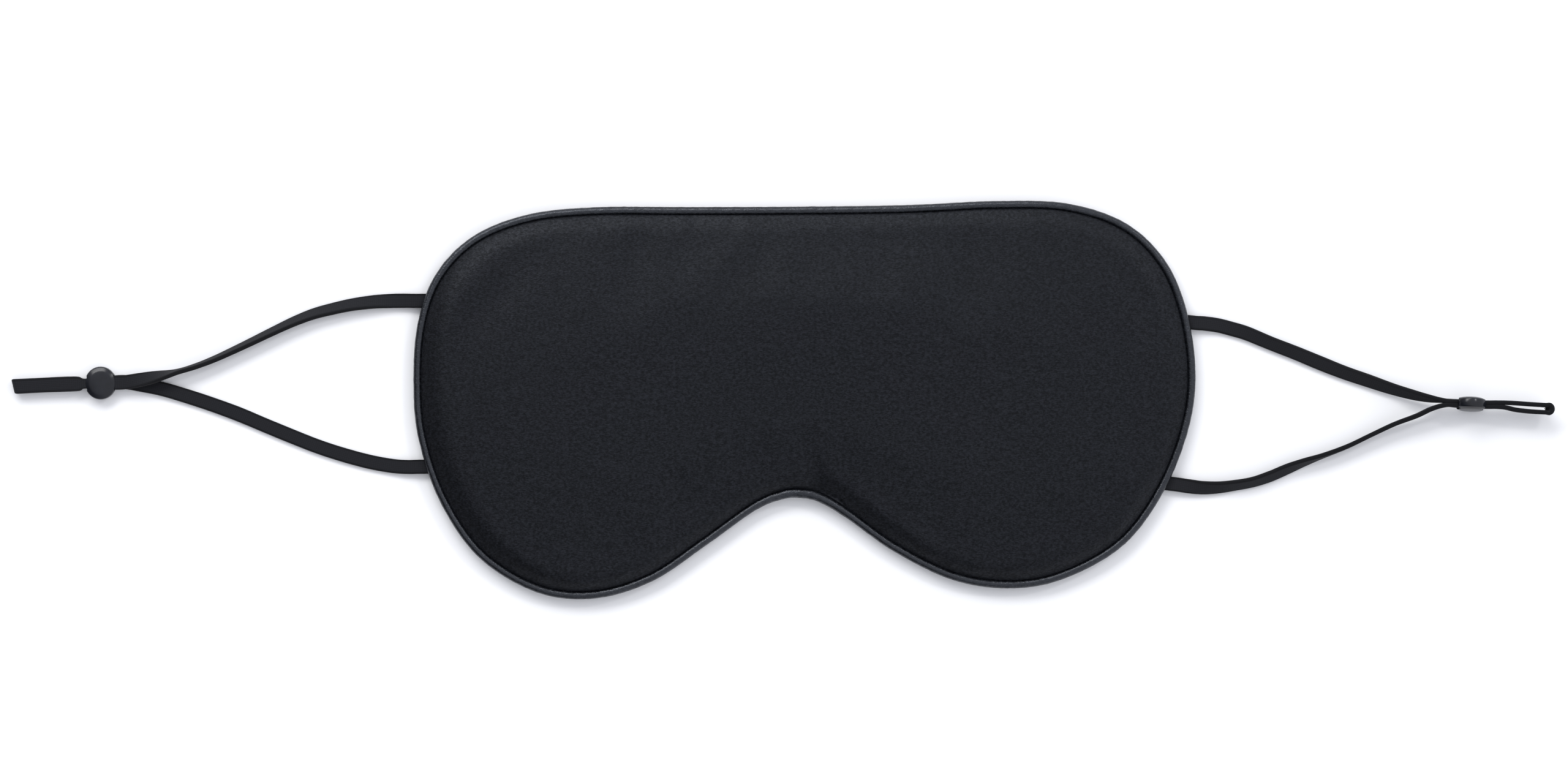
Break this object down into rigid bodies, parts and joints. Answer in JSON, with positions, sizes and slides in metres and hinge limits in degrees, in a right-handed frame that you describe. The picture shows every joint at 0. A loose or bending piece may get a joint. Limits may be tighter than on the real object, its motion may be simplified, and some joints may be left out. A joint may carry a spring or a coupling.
{
  "type": "sleep mask",
  "caption": "Padded satin eye cover with a nose notch and a piped edge, worn by two flat elastic ear loops that each tighten with a sliding disc bead.",
  "frame": {"origin": "middle of the pad's outline, on the flat back that rests on the face or on a table", "axes": "+X to the wearer's left ear, along the pad's length; +Y to the forehead, away from the nose notch; +Z out of the face side, through the pad's thickness"},
  "size_m": [0.4277, 0.1084, 0.0096],
  "materials": {
    "satin": "black satin with a soft sheen",
    "lining": "matt black woven lining",
    "wadding": "off-white foam wadding",
    "cotton_cord": "undyed cotton cord",
    "thread": "black sewing thread",
    "elastic": "matt black knitted elastic",
    "silicone": "glossy black silicone"
  },
  "bodies": {
    "mask": {"front_cover": "satin", "back_cover": "satin", "light_block_liner": "lining", "foam_filling": "wadding", "piping_cover": "satin", "piping_cord": "cotton_cord", "seam_thread": "thread", "left_upper_sewn_end": "elastic", "left_lower_sewn_end": "elastic", "right_upper_sewn_end": "elastic", "right_lower_sewn_end": "elastic"},
    "left_loop": {"left_ear_band": "elastic"},
    "right_loop": {"right_ear_band": "elastic"},
    "left_adjuster": {"left_bead": "silicone"},
    "right_adjuster": {"right_bead": "silicone"}
  },
  "joints": [
    {"name": "left_loop_swing", "type": "hinge", "parent": "mask", "child": "left_loop", "pos_m": [-0.1074, 0.00615, 0.0015], "axis": [0, 1, 0], "range_deg": [-100, 100]},
    {"name": "right_loop_swing", "type": "hinge", "parent": "mask", "child": "right_loop", "pos_m": [0.106, -0.0031, 0.0015], "axis": [-0.1327, -0.9912, 0], "range_deg": [-100, 100]},
    {"name": "left_bead_slide", "type": "slide", "parent": "left_loop", "child": "left_adjuster", "axis": [-0.9998, -0.0175, 0], "range_m": [-0.002, 0.016]},
    {"name": "right_bead_slide", "type": "slide", "parent": "right_loop", "child": "right_adjuster", "axis": [0.9976, -0.0698, 0], "range_m": [-0.002, 0.015]}
  ]
}
